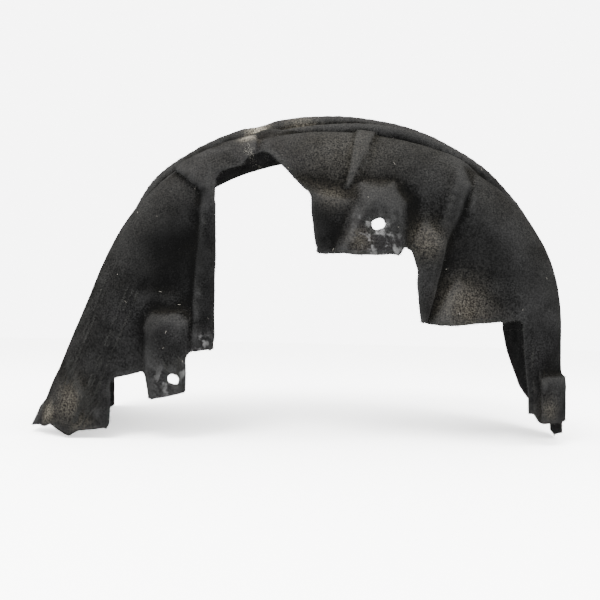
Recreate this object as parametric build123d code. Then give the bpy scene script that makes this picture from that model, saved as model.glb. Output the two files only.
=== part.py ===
"""Rear wheel arch liner, one sheet of black needle felt pressed to shape and trimmed.

Millimetres. The sheet is worked out about the wheel's axis, with X along the car, Y to the outside of
the car and Z up. The moulded form is a solid whose faces the sheet lies on: a stepped arch with a
rounded shoulder, a flat inboard wall, and pads, steps and ribs on it. The sheet is what is left of the
form after the same form, set in by the thickness of the felt, is taken out of it. It is then trimmed,
stood on its three lowest corners and moved so that its origin lies under the middle of its box.

Outlines in front view are rows of x and z, and those of the trim also have the radius of each corner.
"""
from build123d import *
import os
from math import cos, radians, sin

# Sheet
FELT = 3.0

# Depths along the wheel's axis, negative toward the middle of the car
LIP_Y = 270.0
RING_Y = 45.0
LEDGE_Y = 20.0
WALL_Y = -70.0

# Arches in front view: the right leg, the height where it starts to bend, then radius and turn of the bends
RING_LEG_X = 374.0
RING_SPRING_Z = 40.0
RING_BENDS = ((330.0, 75.0), (440.0, 48.0), (169.0, 33.0))
RING_EDGE = 7.0
LEDGE_LEG_X = 362.0
LEDGE_SPRING_Z = 50.0
LEDGE_BENDS = ((302.5, 88.4), (587.0, 21.5), (284.0, 47.0))
LEDGE_EDGE = 6.0
DOME_LEG_X = 362.0
DOME_SPRING_Z = 51.0
DOME_BENDS = ((256.0, 65.0), (476.0, 47.0), (269.0, 45.0))
SHOULDER = 85.0
LEFT_LEG_X = -392.0
UNDER_Z = -260.0

# Saddle across the crown: a ramp up to the ledge, and a dip in the ring behind it
SADDLE_ANGLE = 104.0
RAMP_RADIUS = 60.0
RAMP_LOW = (303.0, -40.0)
RAMP_HIGH = (350.0, 20.0)
DIP_RADIUS = 62.0
DIP_FLOOR = 360.0
DIP_LENGTH = 130.0
DIP_RISE = 16.0

# Sunk wall at the right of a sloping step
STEP_DEPTH = 9.0
STEP_LEAN = 0.8
STEP_LINE = ((140, 420), (160, 285), (194, 232), (186, 199), (142, 108), (137, 30))

# Strut pad and the block on it
PAD_HEIGHT = 21.0
PAD_DRAFT = 42.0
PAD_LINE = ((-70, 246), (-33, 240), (25, 222), (110, 218), (110, 90), (-70, 90))
BLOCK_HEIGHT = 30.0
BLOCK_DRAFT = 36.0
BLOCK_EDGE = 8.0
BLOCK_LINE = ((-22, 90), (18, 196), (48, 236), (98, 236), (117, 206), (120, 90))

# Flare beside the strut pad, and the shelf at the bottom of the right wall
FLARE_HEIGHT = 6.0
FLARE_DRAFT = 58.0
FLARE_LINE = ((106, 150), (138, 188), (168, 154), (138, 30), (98, 30))
SHELF_REACH = 22.0
SHELF_DRAFT = 30.0
SHELF_LINE = ((194, 126), (138, 40), (134, 16), (266, 16), (266, 126))
SHELF_TOP = (184.0, 112.0)
SHELF_RIGHT = (272.0, 46.0)
SHELF_LOW = (142.0, 44.0)

# Rib that narrows down the dome
RIB_HEIGHT = 5.0
RIB_LINE = ((29, 222), (51, 320), (56, 345), (90, 345), (78, 317), (34, 222))

# Left wall: flange along its edge, which widens to the bridge, and pad with the lower fixing
FLANGE_HEIGHT = 8.0
FLANGE_DRAFT = 35.0
FLANGE_LINE = ((-215, 320), (-206, 262), (-163, 222), (-172, 138), (-179, 16), (-179, -60), (-90, -60), (-90, 340))
TAB_HEIGHT = 13.0
TAB_DRAFT = 35.0
TAB_EDGE = 5.0
TAB_LINE = ((-241, -90), (-241, 42), (-230, 60), (-188, 63), (-174, 52), (-172, -90))

# Feet
EAR_FRONT_Y = -34.0
EAR_DRAFT = 12.0
EAR_LINE = ((-380, -52), (-391, -57), (-404, -66), (-419, -100), (-419, -140), (-370, -140), (-370, -60))
HEEL_HEIGHT = 6.0
HEEL_LINE = ((296, -28), (440, -28), (440, -200), (296, -200))

# Trim in front view, cut right through or behind the feet only in front of a depth
OPENING = ((-285, -200, 0), (-285, -31, 12), (-240, -21, 5), (-231, -58, 6), (-181, -49, 7), (-181, 5, 10),
           (-144, 8, 8), (-141, 246, 18), (-108, 257, 6), (-80, 286, 14), (-19, 214, 25), (-9, 133, 9),
           (100, 130, 10), (113, 150, 6), (124, 116, 40), (130, 44, 7), (160, 40, 20), (272, 49, 10), (288, -200, 0))
LEFT_FOOT = ((-270, -84, 0), (-290, -97, 8), (-328, -101, 10), (-342, -109, 4), (-372, -95, 6), (-382, -99, 4),
             (-600, -99, 0))
RIGHT_FOOT = ((270, -80, 0), (287, -81, 3), (296, -94, 6), (600, -94, 0))
FOOT_BACK_Y = 4.0

# Hems behind the feet, in rows of y, z and corner radius, and the tilt that levels the three lowest corners
LEFT_HEM = ((FOOT_BACK_Y, -100, 0), (12, -108, 4), (600, -108, 0))
RIGHT_HEM = ((FOOT_BACK_Y, -118, 0), (36, -125, 3), (62, -113, 10), (125, -97, 20), (192, -63, 25), (252, 0, 20),
             (272, 45, 10), (600, 45, 0))
STANCE_TILT = -1.29

# Fixing slots
STRUT_SLOT = (70.0, 172.0)
STRUT_SLOT_LENGTH = 14.0
STRUT_SLOT_WIDTH = 9.0
STRUT_SLOT_TILT = 20.0
TAB_SLOT = (-197.0, -29.0)
TAB_SLOT_LENGTH = 12.5
TAB_SLOT_WIDTH = 7.0
TAB_SLOT_TILT = -15.0

# How far pads are sunk into the form, and how far cutters reach past it
SINK = 12.0
FAR = 600.0


def area(points, grow=0.0):
    """Face inside a closed run of points, grown or shrunk all round."""
    face = make_face(Polyline(*points, close=True))
    if grow:
        face = offset(face, grow, kind=Kind.INTERSECTION)
    return face


def beneath(corners):
    """Face under a run of rounded corners, down past the feet of the form."""
    points = [(across, z) for across, z, radius in corners]
    top = FilletPolyline(*points, radius=[radius for across, z, radius in corners[1:-1]])
    low = UNDER_Z - SINK
    sides = Polyline(top @ 1, (points[-1][0], low), (points[0][0], low), top @ 0)
    return make_face(top.edges() + sides.edges())


def at_depth(y):
    """Front view plane at a depth, which looks toward the middle of the car."""
    return Plane.XZ.offset(-y)


def between(face, back_y, front_y):
    """Straight solid behind a face in front view, between two depths."""
    return extrude(at_depth(back_y) * face, amount=back_y - front_y)


def arch(leg_x, spring_z, bends, inset):
    """Face inside a right leg, a run of tangent bends and a left leg."""
    foot = Vector(leg_x - inset, UNDER_Z)
    point = Vector(leg_x - inset, spring_z)
    heading = 90.0
    runs = [Line(foot, point)]
    for radius, turn in bends:
        bend = JernArc(point, (cos(radians(heading)), sin(radians(heading))), radius - inset, turn)
        runs.append(bend)
        point = bend @ 1
        heading += turn
    reach = (UNDER_Z - point.Y) / sin(radians(heading))
    far_foot = point + Vector(cos(radians(heading)), sin(radians(heading))) * reach
    runs.append(Line(point, far_foot))
    runs.append(Line(far_foot, foot))
    return make_face(runs)


def front_rim(block):
    """Front edges of an arch block, without the one under its feet."""
    return block.edges().group_by(Axis.Y)[0].sort_by(Axis.Z)[1:]


def dome(inset):
    """The rounded front of the arch."""
    block = between(arch(DOME_LEG_X, DOME_SPRING_Z, DOME_BENDS, inset), WALL_Y + 2 * SHOULDER, WALL_Y + inset)
    return fillet(front_rim(block), SHOULDER - inset)


def tread(leg_x, spring_z, bends, front_y, edge, inset):
    """A plain arch from the outer lip to a front with its edge cut off."""
    block = between(arch(leg_x, spring_z, bends, inset), LIP_Y + inset, front_y + inset)
    return chamfer(front_rim(block), edge)


def raised(points, height, draft, inset):
    """Part of the dome that stands proud of it by a height, with sides that slope in front of the wall."""
    face = area(points, -inset)
    prism = between(face, FAR, WALL_Y) + extrude(at_depth(WALL_Y) * face, amount=height + SINK, taper=draft)
    return dome(inset - height) & prism


def drafted(points, height, draft, wall_y, inset):
    """Block that stands on a wall by a height, with sloping sides and a flat top."""
    face = area(points, -inset)
    foot = extrude(at_depth(wall_y + SINK) * face, amount=SINK)
    return foot + extrude(at_depth(wall_y) * face, amount=height - inset, taper=draft)


def softened(block, edge):
    """Take the edge off the top of a block."""
    return chamfer(block.edges().group_by(Axis.Y)[0], edge)


def stepped_dome(inset):
    """Dome whose right part is sunk behind a sloping step."""
    around = ((STEP_LINE[-1][0], -FAR), (FAR, -FAR), (FAR, STEP_LINE[0][1]))
    right = at_depth(WALL_Y) * area(STEP_LINE + around, inset)
    sunk = extrude(right, amount=2 * SHOULDER + SINK, dir=(STEP_LEAN, 1.0, 0.0), both=True)
    return (dome(inset) - sunk) + dome(inset + STEP_DEPTH)


def saddle_ramp(inset):
    """Round-backed ramp from the dome up to the ledge."""
    up = Vector(cos(radians(SADDLE_ANGLE)), 0, sin(radians(SADDLE_ANGLE)))
    low = up * RAMP_LOW[0] + Vector(0, RAMP_LOW[1], 0)
    run = up * (RAMP_HIGH[0] - RAMP_LOW[0]) + Vector(0, RAMP_HIGH[1] - RAMP_LOW[1], 0)
    out = (up * run.Y - Vector(0, run.dot(up), 0)).normalized()
    end = Plane(origin=low - out * RAMP_RADIUS, z_dir=run)
    return extrude(end * Circle(RAMP_RADIUS - inset), amount=run.length - inset)


def saddle_dip(inset):
    """Round groove over the ring, which runs out toward the lip."""
    up = Vector(cos(radians(SADDLE_ANGLE)), 0, sin(radians(SADDLE_ANGLE)))
    run = Vector(0, DIP_LENGTH, 0) + up * DIP_RISE
    start = Plane(origin=up * (DIP_FLOOR + DIP_RADIUS), z_dir=run)
    return extrude(start * Circle(DIP_RADIUS + inset), amount=2 * DIP_LENGTH)


def shelf(inset):
    """Slope that brings the bottom of the right wall toward the middle of the car."""
    wall = WALL_Y + STEP_DEPTH
    top = Vector(SHELF_TOP[0], wall, SHELF_TOP[1])
    right = Vector(SHELF_RIGHT[0], wall, SHELF_RIGHT[1])
    low = Vector(SHELF_LOW[0], wall - SHELF_REACH, SHELF_LOW[1])
    out = (low - top).cross(right - top).normalized()
    slope = Plane(origin=top - out * inset, z_dir=out)
    block = drafted(SHELF_LINE, SHELF_REACH + SINK, SHELF_DRAFT, wall, inset)
    return split(block, bisect_by=slope, keep=Keep.BOTTOM)


def ear(inset):
    """Flap that turns out at the bottom of the left leg."""
    depth = FOOT_BACK_Y - EAR_FRONT_Y - inset
    return extrude(at_depth(FOOT_BACK_Y) * area(EAR_LINE, -inset), amount=depth, taper=EAR_DRAFT)


def form(inset):
    """The moulded form, set in all round."""
    heel = dome(inset + STEP_DEPTH - HEEL_HEIGHT) & between(area(HEEL_LINE, -inset), FAR, -FAR)
    body = stepped_dome(inset) + [
        tread(LEDGE_LEG_X, LEDGE_SPRING_Z, LEDGE_BENDS, LEDGE_Y, LEDGE_EDGE, inset),
        tread(RING_LEG_X, RING_SPRING_Z, RING_BENDS, RING_Y, RING_EDGE, inset) - saddle_dip(inset),
        saddle_ramp(inset),
        drafted(PAD_LINE, PAD_HEIGHT, PAD_DRAFT, WALL_Y, inset),
        softened(drafted(BLOCK_LINE, BLOCK_HEIGHT, BLOCK_DRAFT, WALL_Y, inset), BLOCK_EDGE - inset),
        drafted(FLARE_LINE, FLARE_HEIGHT, FLARE_DRAFT, WALL_Y, inset),
        shelf(inset),
        raised(RIB_LINE, RIB_HEIGHT, 0.0, inset),
        raised(FLANGE_LINE, FLANGE_HEIGHT, FLANGE_DRAFT, inset),
        softened(drafted(TAB_LINE, TAB_HEIGHT, TAB_DRAFT, WALL_Y, inset), TAB_EDGE - inset),
        heel,
    ]
    edge_x = LEFT_LEG_X + inset
    outside = area(((edge_x, -FAR), (edge_x, FAR), (-2 * FAR, FAR), (-2 * FAR, -FAR)))
    return body - between(outside, FAR, -FAR) + ear(inset)


def slot(place, length, width, tilt):
    """Slot through the sheet."""
    return between(Pos(*place) * Rot(0, 0, tilt) * SlotOverall(length, width), FAR, -FAR)


def trim(sheet):
    """Cut the sheet to its outline and make its holes."""
    return sheet - [
        between(beneath(OPENING), FAR, -FAR),
        between(beneath(LEFT_FOOT), FOOT_BACK_Y, -FAR),
        between(beneath(RIGHT_FOOT), FOOT_BACK_Y, -FAR),
        extrude(Plane.YZ * beneath(LEFT_HEM), amount=-FAR),
        extrude(Plane.YZ * beneath(RIGHT_HEM), amount=FAR),
        slot(STRUT_SLOT, STRUT_SLOT_LENGTH, STRUT_SLOT_WIDTH, STRUT_SLOT_TILT),
        slot(TAB_SLOT, TAB_SLOT_LENGTH, TAB_SLOT_WIDTH, TAB_SLOT_TILT),
    ]


def standing(sheet):
    """The sheet stood on its three lowest corners, with its origin under the middle of its box."""
    level = Rot(0, STANCE_TILT, 0) * sheet
    box = level.bounding_box()
    return Pos(-box.center().X, -box.center().Y, -box.min.Z) * level


if __name__ == "__main__":
    liner = standing(trim(form(0.0) - form(FELT)))
    os.makedirs("parts", exist_ok=True)
    export_step(liner, "parts/wheel_arch_liner.step")
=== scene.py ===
"""Dresses a moulded wheel arch liner as used black needle felt, in metres and in the liner's own frame."""
import random
from math import radians

import bmesh
import bpy
import numpy as np
from mathutils import Matrix, Vector, noise
from mathutils.bvhtree import BVHTree


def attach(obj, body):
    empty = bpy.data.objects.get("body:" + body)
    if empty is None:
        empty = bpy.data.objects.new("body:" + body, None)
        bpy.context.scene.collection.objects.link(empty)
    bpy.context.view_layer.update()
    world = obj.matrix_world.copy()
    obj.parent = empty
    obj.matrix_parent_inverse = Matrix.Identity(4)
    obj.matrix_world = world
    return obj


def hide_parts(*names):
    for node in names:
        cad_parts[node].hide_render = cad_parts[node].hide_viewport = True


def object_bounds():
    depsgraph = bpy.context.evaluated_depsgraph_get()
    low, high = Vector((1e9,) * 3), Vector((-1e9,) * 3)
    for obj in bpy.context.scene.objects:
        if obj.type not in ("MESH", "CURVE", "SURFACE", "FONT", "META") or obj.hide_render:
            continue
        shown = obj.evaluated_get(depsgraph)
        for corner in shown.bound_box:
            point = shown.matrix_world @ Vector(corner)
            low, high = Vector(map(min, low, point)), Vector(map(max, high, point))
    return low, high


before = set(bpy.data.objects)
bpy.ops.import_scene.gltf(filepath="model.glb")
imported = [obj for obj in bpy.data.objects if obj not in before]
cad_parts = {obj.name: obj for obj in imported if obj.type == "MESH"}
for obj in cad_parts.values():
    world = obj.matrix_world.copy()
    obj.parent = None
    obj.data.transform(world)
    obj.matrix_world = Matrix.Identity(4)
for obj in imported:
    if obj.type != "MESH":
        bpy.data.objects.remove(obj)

bl_info = {
    "name": "Felt Wheel Arch Liner",
    "version": (1, 0, 0),
    "blender": (4, 5, 0),
    "location": "View3D > Sidebar > Liner",
    "description": "Dresses a moulded wheel arch liner in used needle felt",
    "category": "Object",
}

NODE = "wheel_arch_liner"
BODY = "root"
MM = 0.001
CAD_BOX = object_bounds()

# The photograph's camera, set out from the wheel's axis, and where that axis lies in the liner's frame
FRAME_PIXELS = 600
SENSOR_MM = 36.0
FOCAL_PIXELS = 545.0
VANISHING_PIXEL = (293.0, 337.0)
EYE = Vector((-39.6, -800.0, 26.4)) * MM
AXLE = Vector((19.835, -85.0, 116.798)) * MM
STANCE = Matrix.Rotation(radians(-1.29), 3, "Y")
EYE_AT = AXLE + STANCE @ EYE

# Folds and dents in the sheet: pixels along the line, height in mm toward the eye, half width in mm
FOLDS = (
    (((68, 363), (76, 383), (83, 399), (97, 413)), 2.6, 4.5),
    (((80, 393), (77, 404), (75, 415)), 2.0, 4.0),
    (((139, 300), (152, 296), (168, 300)), 1.2, 9.0),
    (((150, 366), (168, 368), (182, 365)), 1.6, 4.0),
    (((192, 157), (208, 151), (226, 149)), 1.8, 5.0),
    (((545, 390), (548, 382), (550, 375)), 1.8, 4.0),
    (((357, 219), (350, 234), (342, 250)), 2.2, 5.0),
    (((209, 165), (206, 192), (201, 250), (196, 335)), 2.0, 4.0),
    (((160, 250), (166, 285), (172, 250)), -2.5, 22.0),
    (((462, 166), (456, 190), (446, 222)), 3.2, 5.0),
    (((479, 168), (476, 188), (472, 210)), 2.2, 4.5),
    (((374, 137), (366, 160), (351, 188)), 2.4, 4.0),
)

# Patches on the sheet: pixel, radius in mm, strength
# Dust and painted light: partly real dust, such as the cream streak at the saddle, and partly painted light,
# such as the patches on the pad's top, the flare and the ledge where faces look up
DUST_AND_LIGHT_PATCHES = (
    ((258, 130), 14.0, 1.0), ((248, 138), 10.0, 0.9), ((300, 122), 22.0, 0.18), ((340, 150), 60.0, 0.05),
    ((68, 400), 24.0, 0.16), ((48, 412), 14.0, 0.30), ((80, 425), 14.0, 0.12), ((427, 240), 22.0, 0.14),
    ((465, 305), 32.0, 0.14), ((331, 194), 18.0, 0.12), ((360, 240), 14.0, 0.12), ((550, 410), 14.0, 0.12),
)
PRESSED_PATCHES = (
    ((378, 240), 26.0, 1.0), ((392, 252), 22.0, 0.9), ((366, 222), 14.0, 0.7), ((163, 380), 13.0, 0.8),
    ((165, 392), 11.0, 0.7), ((186, 372), 12.0, 0.9), ((202, 342), 11.0, 1.0), ((196, 350), 8.0, 0.8),
)
# Painted shade: the wall's dark middle, the valleys, the recesses and the crown's creases darkened in colour;
# pixel, radius in mm, strength
PAINTED_SHADE_PATCHES = (
    ((173, 253), 60.0, 0.9), ((172, 210), 40.0, 0.5), ((498, 183), 26.0, 0.6), ((455, 240), 40.0, 0.6),
    ((490, 260), 50.0, 0.35), ((322, 214), 24.0, 0.5), ((150, 330), 26.0, 0.45), ((380, 180), 26.0, 0.3),
    ((188, 157), 10.0, 0.9), ((202, 151), 10.0, 0.9), ((216, 146), 10.0, 0.9), ((229, 141), 10.0, 0.8),
    ((185, 176), 8.0, 0.8), ((194, 184), 8.0, 0.8), ((203, 191), 8.0, 0.7),
)
# Pixels along the torn edge of the bridge
TORN_EDGE = ((246, 146), (249, 152), (252, 158), (256, 164), (259, 168))

# Share of the dust colour on faces that look up, paler the more they look up, turn in radians that makes an
# edge a rim, threads at each torn spot
UPWARD_PALING = 0.05
RIM_ANGLE = 0.55
TORN_STRANDS = 6

# Pale floor and bright white surroundings
PAPER = "#f6f6f5"
SURROUND = 7.0


def linear(hex_colour):
    """Linear colour of an sRGB hex value."""
    parts = [int(hex_colour[place:place + 2], 16) / 255 for place in (1, 3, 5)]
    return tuple(part / 12.92 if part <= 0.04045 else ((part + 0.055) / 1.055) ** 2.4 for part in parts)


def per_metre(size_mm):
    """Texture scale for a pattern of a real size."""
    return 1.0 / (size_mm * MM)


def pixel_ray(pixel):
    """Direction from the eye through a pixel of the photograph."""
    across = (pixel[0] - VANISHING_PIXEL[0]) / FOCAL_PIXELS
    up = (VANISHING_PIXEL[1] - pixel[1]) / FOCAL_PIXELS
    return (STANCE @ Vector((across, 1.0, up))).normalized()


def on_sheet(tree, pixel):
    """Place on the sheet that shows at a pixel of the photograph."""
    place = tree.ray_cast(EYE_AT, pixel_ray(pixel))[0]
    if place is None:
        raise RuntimeError(f"pixel {pixel} misses the sheet")
    return place


def cad_tree():
    """Search tree of the moulded sheet."""
    bm = bmesh.new()
    bm.from_mesh(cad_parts[NODE].data)
    tree = BVHTree.FromBMesh(bm)
    bm.free()
    return tree


class LinerSettings(bpy.types.PropertyGroup):
    """Sizes and colours of the felt."""
    cell: bpy.props.FloatProperty(name="Cell", description="Longest edge of the sheet's facets",
                                  default=10.8 * MM, unit="LENGTH")
    softness: bpy.props.IntProperty(name="Softness", description="Rounds of smoothing over the creases",
                                    default=4)
    give: bpy.props.FloatProperty(name="Give", description="Furthest that smoothing may move the felt",
                                  default=2.6 * MM, unit="LENGTH")
    lump: bpy.props.FloatProperty(name="Lumps", description="Height of the felt's unevenness",
                                  default=1.1 * MM, unit="LENGTH")
    # Painted sheen on ridges and painted shade in hollows: ridges coloured paler, hollows darker
    ridge_sheen_and_shade: bpy.props.FloatProperty(name="Ridge sheen and shade", description="How much paler ridges are than hollows",
                                  default=0.5)
    reach: bpy.props.IntProperty(name="Reach", description="Rounds of smoothing that find ridges", default=10)
    # Ridges this high get the full painted sheen, hollows this deep the full painted shade
    bulge: bpy.props.FloatProperty(name="Bulge", description="Height at which a ridge is fully worn",
                                   default=1.6 * MM, unit="LENGTH")
    fuzz: bpy.props.IntProperty(name="Fuzz", description="Number of loose fibres on the faces", default=30000)
    rim_step: bpy.props.FloatProperty(name="Rim step", default=1.1 * MM, unit="LENGTH",
                                      description="Distance between loose fibres along the edges")
    lint: bpy.props.IntProperty(name="Lint", description="Number of pale specks of lint", default=170)
    dark: bpy.props.FloatVectorProperty(name="Dark felt", description="Darkest fibres", subtype="COLOR",
                                        default=linear("#040404"))
    pale: bpy.props.FloatVectorProperty(name="Pale felt", description="Palest fibres", subtype="COLOR",
                                        default=linear("#1a1a1a"))
    # Colour of the dust and of the painted light on faces that look up
    dust_and_light: bpy.props.FloatVectorProperty(name="Dust and light", description="Road dust in the felt", subtype="COLOR",
                                        default=linear("#6c675c"))
    lint_colour: bpy.props.FloatVectorProperty(name="Lint colour", description="Pale lint", subtype="COLOR",
                                               default=linear("#5c5954"))


def settings():
    """The liner's settings in this scene."""
    return bpy.context.scene.liner_settings


def add_node(tree, kind, values=None, links=None, **options):
    """Add a shader node with its options, socket values and incoming links."""
    node = tree.nodes.new(kind)
    for name, value in options.items():
        setattr(node, name, value)
    for name, value in (values or {}).items():
        node.inputs[name].default_value = value
    for name, source in (links or {}).items():
        tree.links.new(source, node.inputs[name])
    return node


def new_material(name):
    """Empty material with an output, and its tree."""
    material = bpy.data.materials.new(name)
    material.use_nodes = True
    material.node_tree.nodes.clear()
    return material, material.node_tree


def needle_felt():
    """Needle-punched polyester felt: matt black, grainy, darkened by painted shade in patches and in hollows,
    paler by painted sheen on ridges, pale where dust and painted light lie, shiny where pressed.
    """
    material, tree = new_material("needle_felt")
    kit = settings()
    place = add_node(tree, "ShaderNodeTexCoord").outputs["Object"]
    fibre = add_node(tree, "ShaderNodeTexNoise", {"Scale": per_metre(2.2), "Detail": 4.0, "Roughness": 0.72},
                     {"Vector": place})
    cloud = add_node(tree, "ShaderNodeTexNoise", {"Scale": per_metre(38.0), "Detail": 3.0}, {"Vector": place})
    punch = add_node(tree, "ShaderNodeTexVoronoi", {"Scale": per_metre(3.4)}, {"Vector": place})
    grain = add_node(tree, "ShaderNodeMapRange", {"From Min": 0.36, "From Max": 0.68},
                     {"Value": fibre.outputs["Fac"]})
    worn = add_node(tree, "ShaderNodeMapRange",
                    {"From Min": 0.3, "From Max": 0.72, "To Min": 0.25, "To Max": 0.85},
                    {"Value": cloud.outputs["Fac"]})
    tone = add_node(tree, "ShaderNodeMath", None, {0: grain.outputs[0], 1: worn.outputs[0]},
                    operation="MULTIPLY")
    # Painted shade: the felt is darkened where the shade patches lie
    shade = add_node(tree, "ShaderNodeAttribute", attribute_name="shade")
    unshaded = add_node(tree, "ShaderNodeMath", {0: 1.0}, {1: shade.outputs["Fac"]}, operation="SUBTRACT")
    # Painted sheen on ridges and painted shade in hollows, added to the felt's tone
    ridge = add_node(tree, "ShaderNodeAttribute", attribute_name="ridge")
    ridge_sheen_and_shade = add_node(tree, "ShaderNodeMath", {1: kit.ridge_sheen_and_shade}, {0: ridge.outputs["Fac"], 2: tone.outputs[0]},
                    operation="MULTIPLY_ADD")
    seen = add_node(tree, "ShaderNodeMath", None, {0: ridge_sheen_and_shade.outputs[0], 1: unshaded.outputs[0]},
                    operation="MULTIPLY", use_clamp=True)
    felt = add_node(tree, "ShaderNodeMix", {6: (*kit.dark, 1.0), 7: (*kit.pale, 1.0)}, {0: seen.outputs[0]},
                    data_type="RGBA")
    # Dust and painted light, laid on in the dust colour
    dust_and_light = add_node(tree, "ShaderNodeAttribute", attribute_name="dust_and_light")
    speck = add_node(tree, "ShaderNodeMapRange", {"From Min": 0.4, "From Max": 0.66},
                     {"Value": fibre.outputs["Fac"]})
    veil = add_node(tree, "ShaderNodeMath", None, {0: dust_and_light.outputs["Fac"], 1: speck.outputs[0]},
                    operation="MULTIPLY")
    dusty_and_lit = add_node(tree, "ShaderNodeMix", {7: (*kit.dust_and_light, 1.0)}, {0: veil.outputs[0], 6: felt.outputs[2]},
                     data_type="RGBA")
    pressed = add_node(tree, "ShaderNodeAttribute", attribute_name="pressed")
    smear = add_node(tree, "ShaderNodeTexNoise", {"Scale": per_metre(9.0), "Detail": 2.0}, {"Vector": place})
    melt = add_node(tree, "ShaderNodeMapRange", {"From Min": 0.5, "From Max": 0.62},
                    {"Value": smear.outputs["Fac"]})
    shine = add_node(tree, "ShaderNodeMath", None, {0: pressed.outputs["Fac"], 1: melt.outputs[0]},
                     operation="MULTIPLY")
    gloss = add_node(tree, "ShaderNodeMapRange", {"To Min": 0.0, "To Max": 0.4}, {"Value": shine.outputs[0]})
    rough = add_node(tree, "ShaderNodeMapRange", {"To Min": 0.95, "To Max": 0.3}, {"Value": shine.outputs[0]})
    relief = add_node(tree, "ShaderNodeMath", {1: 0.6},
                      {0: punch.outputs["Distance"], 2: fibre.outputs["Fac"]}, operation="MULTIPLY_ADD")
    bump = add_node(tree, "ShaderNodeBump", {"Strength": 0.75, "Distance": 1.4 * MM},
                    {"Height": relief.outputs[0]})
    shader = add_node(tree, "ShaderNodeBsdfPrincipled",
                      {"IOR": 1.5},
                      {"Base Color": dusty_and_lit.outputs[2], "Roughness": rough.outputs[0],
                       "Specular IOR Level": gloss.outputs[0], "Normal": bump.outputs[0]})
    add_node(tree, "ShaderNodeOutputMaterial", None, {"Surface": shader.outputs[0]})
    return material


def loose_fibre(name, colour):
    """Loose polyester fibres: thin, matt, and a little paler than the felt that they stand out of."""
    material, tree = new_material(name)
    place = add_node(tree, "ShaderNodeTexCoord").outputs["Object"]
    patch = add_node(tree, "ShaderNodeTexNoise", {"Scale": per_metre(9.0), "Detail": 2.0}, {"Vector": place})
    tone = add_node(tree, "ShaderNodeMapRange",
                    {"From Min": 0.3, "From Max": 0.7, "To Min": 0.45, "To Max": 1.0},
                    {"Value": patch.outputs["Fac"]})
    tint = add_node(tree, "ShaderNodeMix", {6: (*[part * 0.35 for part in colour], 1.0), 7: (*colour, 1.0)},
                    {0: tone.outputs[0]}, data_type="RGBA")
    shader = add_node(tree, "ShaderNodeBsdfPrincipled", {"Roughness": 0.85, "Specular IOR Level": 0.0},
                      {"Base Color": tint.outputs[2]})
    add_node(tree, "ShaderNodeOutputMaterial", None, {"Surface": shader.outputs[0]})
    return material


def new_piece(name, mesh, material):
    """Object that shows a mesh in one material and rides with the liner."""
    mesh.materials.clear()
    mesh.materials.append(material)
    piece = bpy.data.objects.new(name, mesh)
    bpy.context.collection.objects.link(piece)
    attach(piece, BODY)
    return piece


def refine(places, faces, limit):
    """Triangles split at the middle of each edge that is longer than a limit, until none is."""
    while True:
        sides = np.sort(faces[:, [0, 1, 1, 2, 2, 0]].reshape(-1, 2), axis=1)
        edges, back = np.unique(sides, axis=0, return_inverse=True)
        back = back.reshape(-1, 3)
        length = np.linalg.norm(places[edges[:, 0]] - places[edges[:, 1]], axis=1)
        split = length > limit
        if not split.any():
            return places, faces
        middle = np.full(len(edges), -1)
        middle[split] = len(places) + np.arange(split.sum())
        places = np.vstack([places, (places[edges[split, 0]] + places[edges[split, 1]]) / 2])
        order = np.argmax(length[back], axis=1)[:, None]
        turn = (order + np.arange(3)) % 3
        corner = np.take_along_axis(faces, turn, axis=1)
        mid = np.take_along_axis(middle[back], turn, axis=1)
        a, b, c = corner.T
        ab, bc, ca = mid.T
        whole = ab < 0
        left = ~whole & (ca < 0)
        left_split = ~whole & (ca >= 0)
        right = ~whole & (bc < 0)
        right_split = ~whole & (bc >= 0)
        faces = np.vstack([
            faces[whole],
            np.stack([a, ab, c], 1)[left],
            np.stack([a, ab, ca], 1)[left_split],
            np.stack([ab, c, ca], 1)[left_split],
            np.stack([ab, b, c], 1)[right],
            np.stack([ab, b, bc], 1)[right_split],
            np.stack([ab, bc, c], 1)[right_split],
        ])


def soften(places, links, rounds, give):
    """Places smoothed toward their neighbours, but never moved by more than the felt gives."""
    count = len(places)
    neighbours = np.bincount(links.ravel(), minlength=count)[:, None]
    moved = places.copy()
    for turn in range(rounds):
        total = np.zeros_like(moved)
        for axis in range(3):
            total[:, axis] += np.bincount(links[:, 0], moved[links[:, 1], axis], count)
            total[:, axis] += np.bincount(links[:, 1], moved[links[:, 0], axis], count)
        moved = 0.5 * moved + 0.5 * total / neighbours
    shift = moved - places
    length = np.linalg.norm(shift, axis=1, keepdims=True)
    return places + shift * np.minimum(1.0, give / np.maximum(length, 1e-9))


def ridges(places, normals, links, rounds, bulge):
    """How far each place stands out of its surroundings, from -1 in a hollow to 1 on a ridge."""
    level = soften(places, links, rounds, 1.0)
    return np.clip(np.sum((places - level) * normals, axis=1) / bulge, -1.0, 1.0)


def lumps(places, height):
    """Shift of each place by slow and quick unevenness of the felt."""
    shift = np.zeros_like(places)
    for size, share in ((70.0, 1.0), (24.0, 0.5), (9.0, 0.22)):
        for index, place in enumerate(places):
            shift[index] += np.array(noise.noise_vector(Vector(place) * per_metre(size))) * height * share
    return shift


def along(tree, pixels):
    """Places on the sheet, a few mm apart, along a line of pixels."""
    spots = []
    for start, end in zip(pixels, pixels[1:]):
        for share in (0.0, 0.25, 0.5, 0.75, 1.0):
            pixel = (start[0] + (end[0] - start[0]) * share, start[1] + (end[1] - start[1]) * share)
            spots.append(np.array(on_sheet(tree, pixel)))
    return spots


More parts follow.
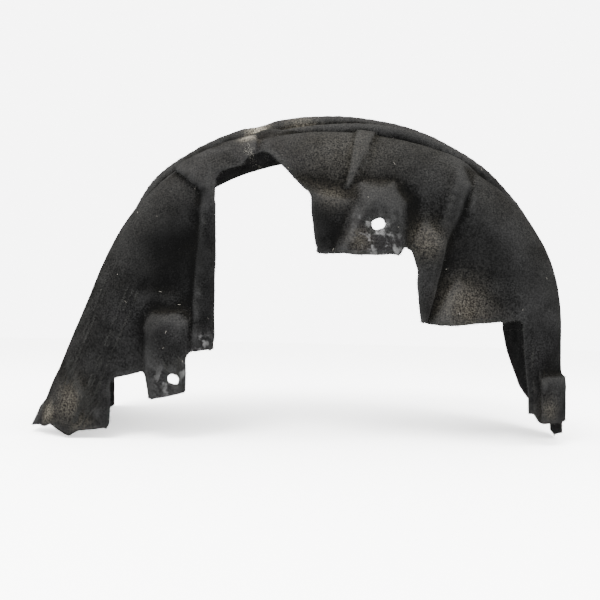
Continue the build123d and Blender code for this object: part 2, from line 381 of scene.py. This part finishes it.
def fold_shift(places, tree):
    """Shift of each place by the folds, toward the eye or away from it."""
    shift = np.zeros_like(places)
    toward = np.array(EYE_AT) - places
    toward /= np.linalg.norm(toward, axis=1, keepdims=True)
    for pixels, height, half_width in FOLDS:
        spots = np.array(along(tree, pixels))
        gap = np.min(np.linalg.norm(places[:, None, :] - spots[None, :, :], axis=2), axis=1)
        shift += toward * (height * MM * np.exp(-(gap / (half_width * MM)) ** 2))[:, None]
    return shift


def patch_strength(places, tree, patches):
    """Strength of a set of patches at each place."""
    strength = np.zeros(len(places))
    for pixel, radius, share in patches:
        gap = np.linalg.norm(places - np.array(on_sheet(tree, pixel)), axis=1)
        strength = np.maximum(strength, share * np.exp(-(gap / (radius * MM)) ** 2))
    return strength


def write_attribute(mesh, name, values):
    """Keep a value for each point of a mesh."""
    layer = mesh.attributes.new(name, "FLOAT", "POINT")
    layer.data.foreach_set("value", np.asarray(values, dtype=np.float32))


def bristles(name, roots, rng, lengths, width, lift, material):
    """Piece of thin tapered fibres, each at a root with the direction that it stands in."""
    points = []
    faces = []
    for root, out in roots:
        side = out.cross(Vector((rng.uniform(-1, 1), rng.uniform(-1, 1), rng.uniform(-1, 1)))).normalized()
        lean = (out * lift + side * rng.uniform(0.5, 1.2)).normalized()
        flat = lean.cross(out).normalized() * width
        length = rng.uniform(*lengths)
        bend = root + lean * length * 0.55 + out * length * 0.1
        tip = root + lean * length + side.cross(out) * length * rng.uniform(-0.4, 0.4)
        first = len(points)
        points += [root - flat, root + flat, bend + flat * 0.7, bend - flat * 0.7, tip]
        faces += [(first, first + 1, first + 2, first + 3), (first + 3, first + 2, first + 4)]
    mesh = bpy.data.meshes.new(name)
    mesh.from_pydata(np.clip(np.array(points), CAD_BOX[0], CAD_BOX[1]), [], faces)
    return new_piece(name, mesh, material)


class LINER_OT_felt_sheet(bpy.types.Operator):
    """Make the felt sheet over the moulded solid"""
    bl_idname = "liner.felt_sheet"
    bl_label = "Felt Sheet"

    def execute(self, context):
        kit = settings()
        tree = cad_tree()
        bm = bmesh.new()
        bm.from_mesh(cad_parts[NODE].data)
        bmesh.ops.remove_doubles(bm, verts=bm.verts[:], dist=0.02 * MM)
        bmesh.ops.triangulate(bm, faces=bm.faces[:])
        bm.verts.index_update()
        places = np.array([vert.co for vert in bm.verts])
        faces = np.array([[vert.index for vert in face.verts] for face in bm.faces])
        bm.free()
        places, faces = refine(places, faces, kit.cell)
        mesh = bpy.data.meshes.new("felt_sheet")
        mesh.from_pydata(places, [], faces)
        count = len(places)
        links = np.zeros(len(mesh.edges) * 2, dtype=np.int32)
        mesh.edges.foreach_get("vertices", links)
        links = links.reshape(-1, 2)
        places = soften(places, links, kit.softness, kit.give)
        places += lumps(places, kit.lump) + fold_shift(places, tree)
        places[:, 2] = np.maximum(places[:, 2], CAD_BOX[0][2])
        mesh.vertices.foreach_set("co", places.ravel())
        mesh.update()
        mesh.polygons.foreach_set("use_smooth", [True] * len(mesh.polygons))
        normals = np.zeros(count * 3)
        mesh.vertices.foreach_get("normal", normals)
        normals = normals.reshape(count, 3)
        upward = np.clip(normals[:, 2], 0.0, 1.0)
        # Painted sheen on ridges and painted shade in hollows, from how far each place stands out
        write_attribute(mesh, "ridge", ridges(places, normals, links, kit.reach, kit.bulge))
        # Dust and painted light patches, with faces that look up made paler
        dust_and_light_share = patch_strength(places, tree, DUST_AND_LIGHT_PATCHES) + UPWARD_PALING * upward
        write_attribute(mesh, "dust_and_light", np.clip(dust_and_light_share, 0.0, 1.0))
        write_attribute(mesh, "pressed", patch_strength(places, tree, PRESSED_PATCHES))
        # Painted shade patches, kept as the shade attribute
        write_attribute(mesh, "shade", patch_strength(places, tree, PAINTED_SHADE_PATCHES))
        piece = new_piece("felt_sheet", mesh, needle_felt())
        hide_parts(NODE)
        return {"FINISHED"}


class LINER_OT_loose_fibres(bpy.types.Operator):
    """Stand loose fibres on the faces and along the edges"""
    bl_idname = "liner.loose_fibres"
    bl_label = "Loose Fibres"

    def execute(self, context):
        kit = settings()
        rng = random.Random(11)
        sheet = bpy.data.objects["felt_sheet"].data
        weights = [face.area for face in sheet.polygons]
        roots = []
        for face in rng.choices(sheet.polygons, weights, k=kit.fuzz):
            corners = [sheet.vertices[index].co for index in face.vertices]
            share = sorted((rng.random(), rng.random()))
            root = corners[0] * share[0] + corners[1] * (share[1] - share[0]) + corners[2] * (1 - share[1])
            roots.append((root, face.normal.copy()))
        bristles("face_fuzz", roots, rng, (1.2 * MM, 3.0 * MM), 0.09 * MM, 0.55,
                 loose_fibre("polyester_fibre", linear("#171717")))
        bm = bmesh.new()
        bm.from_mesh(sheet)
        roots = []
        for edge in bm.edges:
            if len(edge.link_faces) == 2 and edge.calc_face_angle(0.0) > RIM_ANGLE:
                out = (edge.link_faces[0].normal + edge.link_faces[1].normal).normalized()
                spots = edge.calc_length() / kit.rim_step
                for spot in range(int(spots + rng.random())):
                    roots.append((edge.verts[0].co.lerp(edge.verts[1].co, rng.random()), out))
        bm.free()
        # Painted sheen on the rims: the rim fibres are coloured paler than the fibres on the faces
        bristles("rim_fuzz", roots, rng, (1.5 * MM, 4.2 * MM), 0.10 * MM, 0.8,
                 loose_fibre("rim_fibre_sheen", linear("#222221")))
        return {"FINISHED"}


class LINER_OT_torn_edge(bpy.types.Operator):
    """Fray the torn edge of the bridge"""
    bl_idname = "liner.torn_edge"
    bl_label = "Torn Edge"

    def execute(self, context):
        rng = random.Random(5)
        tree = cad_tree()
        roots = []
        for spot in along(tree, TORN_EDGE):
            for strand in range(TORN_STRANDS):
                jitter = Vector((rng.uniform(-5, 5), rng.uniform(-1.5, 0.5), rng.uniform(-5, 5))) * MM
                place, normal = tree.find_nearest(Vector(spot) + jitter)[:2]
                roots.append((place, normal))
        bristles("torn_fibres", roots, rng, (3.0 * MM, 7.0 * MM), 0.14 * MM, 0.5,
                 loose_fibre("torn_fibre", linear("#5a5852")))
        return {"FINISHED"}


class LINER_OT_lint(bpy.types.Operator):
    """Lay specks of pale lint on the felt"""
    bl_idname = "liner.lint"
    bl_label = "Lint"

    def execute(self, context):
        kit = settings()
        rng = random.Random(23)
        sheet = bpy.data.objects["felt_sheet"].data
        weights = [face.area for face in sheet.polygons]
        chosen = rng.choices(sheet.polygons, weights, k=kit.lint)
        roots = [(face.center.copy(), face.normal.copy()) for face in chosen]
        bristles("lint_specks", roots, rng, (1.5 * MM, 5.0 * MM), 0.22 * MM, 0.12,
                 loose_fibre("pale_lint", tuple(kit.lint_colour)))
        return {"FINISHED"}


class LINER_OT_stage(bpy.types.Operator):
    """Set the floor, the light and the photograph's camera"""
    bl_idname = "liner.stage"
    bl_label = "Stage"

    def execute(self, context):
        self.add_floor()
        self.add_lights(context)
        camera = bpy.data.cameras.new("camera")
        camera.sensor_width = SENSOR_MM
        camera.lens = SENSOR_MM * FOCAL_PIXELS / FRAME_PIXELS
        camera.shift_x = (FRAME_PIXELS / 2 - VANISHING_PIXEL[0]) / FRAME_PIXELS
        camera.shift_y = (VANISHING_PIXEL[1] - FRAME_PIXELS / 2) / FRAME_PIXELS
        camera.clip_start = 10.0 * MM
        eye = bpy.data.objects.new("camera", camera)
        look = STANCE @ Matrix.Rotation(radians(90.0), 3, "X")
        eye.matrix_world = Matrix.Translation(EYE_AT) @ look.to_4x4()
        context.collection.objects.link(eye)
        context.scene.camera = eye
        return {"FINISHED"}

    def add_floor(self):
        """Wide pale floor."""
        bm = bmesh.new()
        bmesh.ops.create_circle(bm, cap_ends=True, segments=96, radius=12.0)
        mesh = bpy.data.meshes.new("floor")
        bm.to_mesh(mesh)
        bm.free()
        material, tree = new_material("matt_paper")
        place = add_node(tree, "ShaderNodeTexCoord").outputs["Object"]
        tooth = add_node(tree, "ShaderNodeTexNoise", {"Scale": per_metre(4.0)}, {"Vector": place})
        bump = add_node(tree, "ShaderNodeBump", {"Strength": 0.05, "Distance": 0.2 * MM},
                        {"Height": tooth.outputs["Fac"]})
        shader = add_node(tree, "ShaderNodeBsdfPrincipled",
                          {"Base Color": (*linear(PAPER), 1.0), "Roughness": 0.9},
                          {"Normal": bump.outputs[0]})
        add_node(tree, "ShaderNodeOutputMaterial", None, {"Surface": shader.outputs[0]})
        mesh.materials.append(material)
        floor = bpy.data.objects.new("floor", mesh)
        floor.location = (0.0, 0.0, -0.3 * MM)
        bpy.context.collection.objects.link(floor)

    def add_lights(self, context):
        """White surroundings and broad soft lamps above, in front and at both sides."""
        world = bpy.data.worlds.new("studio")
        world.use_nodes = True
        backdrop = world.node_tree.nodes["Background"]
        backdrop.inputs["Color"].default_value = (1.0, 1.0, 1.0, 1.0)
        backdrop.inputs["Strength"].default_value = SURROUND
        context.scene.world = world
        lamps = (
            ("key_lamp", (-0.5, -1.2, 2.0), 1.0, 130.0),
            ("right_lamp", (1.6, -0.6, 1.3), 0.8, 45.0),
            ("left_lamp", (-1.7, -0.5, 1.0), 0.8, 35.0),
        )
        for name, place, size, power in lamps:
            lamp = bpy.data.lights.new(name, "AREA")
            lamp.shape = "DISK"
            lamp.size = size
            lamp.energy = power
            holder = bpy.data.objects.new(name, lamp)
            holder.location = place
            aim = Vector((0.0, 0.0, 0.25)) - Vector(place)
            holder.rotation_euler = aim.to_track_quat("-Z", "Y").to_euler()
            context.collection.objects.link(holder)


class LINER_PT_sidebar(bpy.types.Panel):
    """Settings and steps of the liner"""
    bl_label = "Felt Liner"
    bl_idname = "LINER_PT_sidebar"
    bl_space_type = "VIEW_3D"
    bl_region_type = "UI"
    bl_category = "Liner"

    def draw(self, context):
        kit = settings()
        for name in LinerSettings.__annotations__:
            self.layout.prop(kit, name)
        for operator in STEPS:
            self.layout.operator(operator.bl_idname)


STEPS = (LINER_OT_felt_sheet, LINER_OT_loose_fibres, LINER_OT_torn_edge, LINER_OT_lint, LINER_OT_stage)
CLASSES = (LinerSettings, *STEPS, LINER_PT_sidebar)


def register():
    """Make the settings, the steps and the sidebar known."""
    for item in CLASSES:
        bpy.utils.register_class(item)
    bpy.types.Scene.liner_settings = bpy.props.PointerProperty(type=LinerSettings)


def unregister():
    """Take the settings, the steps and the sidebar away."""
    del bpy.types.Scene.liner_settings
    for item in reversed(CLASSES):
        bpy.utils.unregister_class(item)


def main():
    """Dress the liner step by step."""
    register()
    bpy.ops.liner.felt_sheet()
    bpy.ops.liner.loose_fibres()
    bpy.ops.liner.torn_edge()
    bpy.ops.liner.lint()
    bpy.ops.liner.stage()


if __name__ == "__main__":
    main()
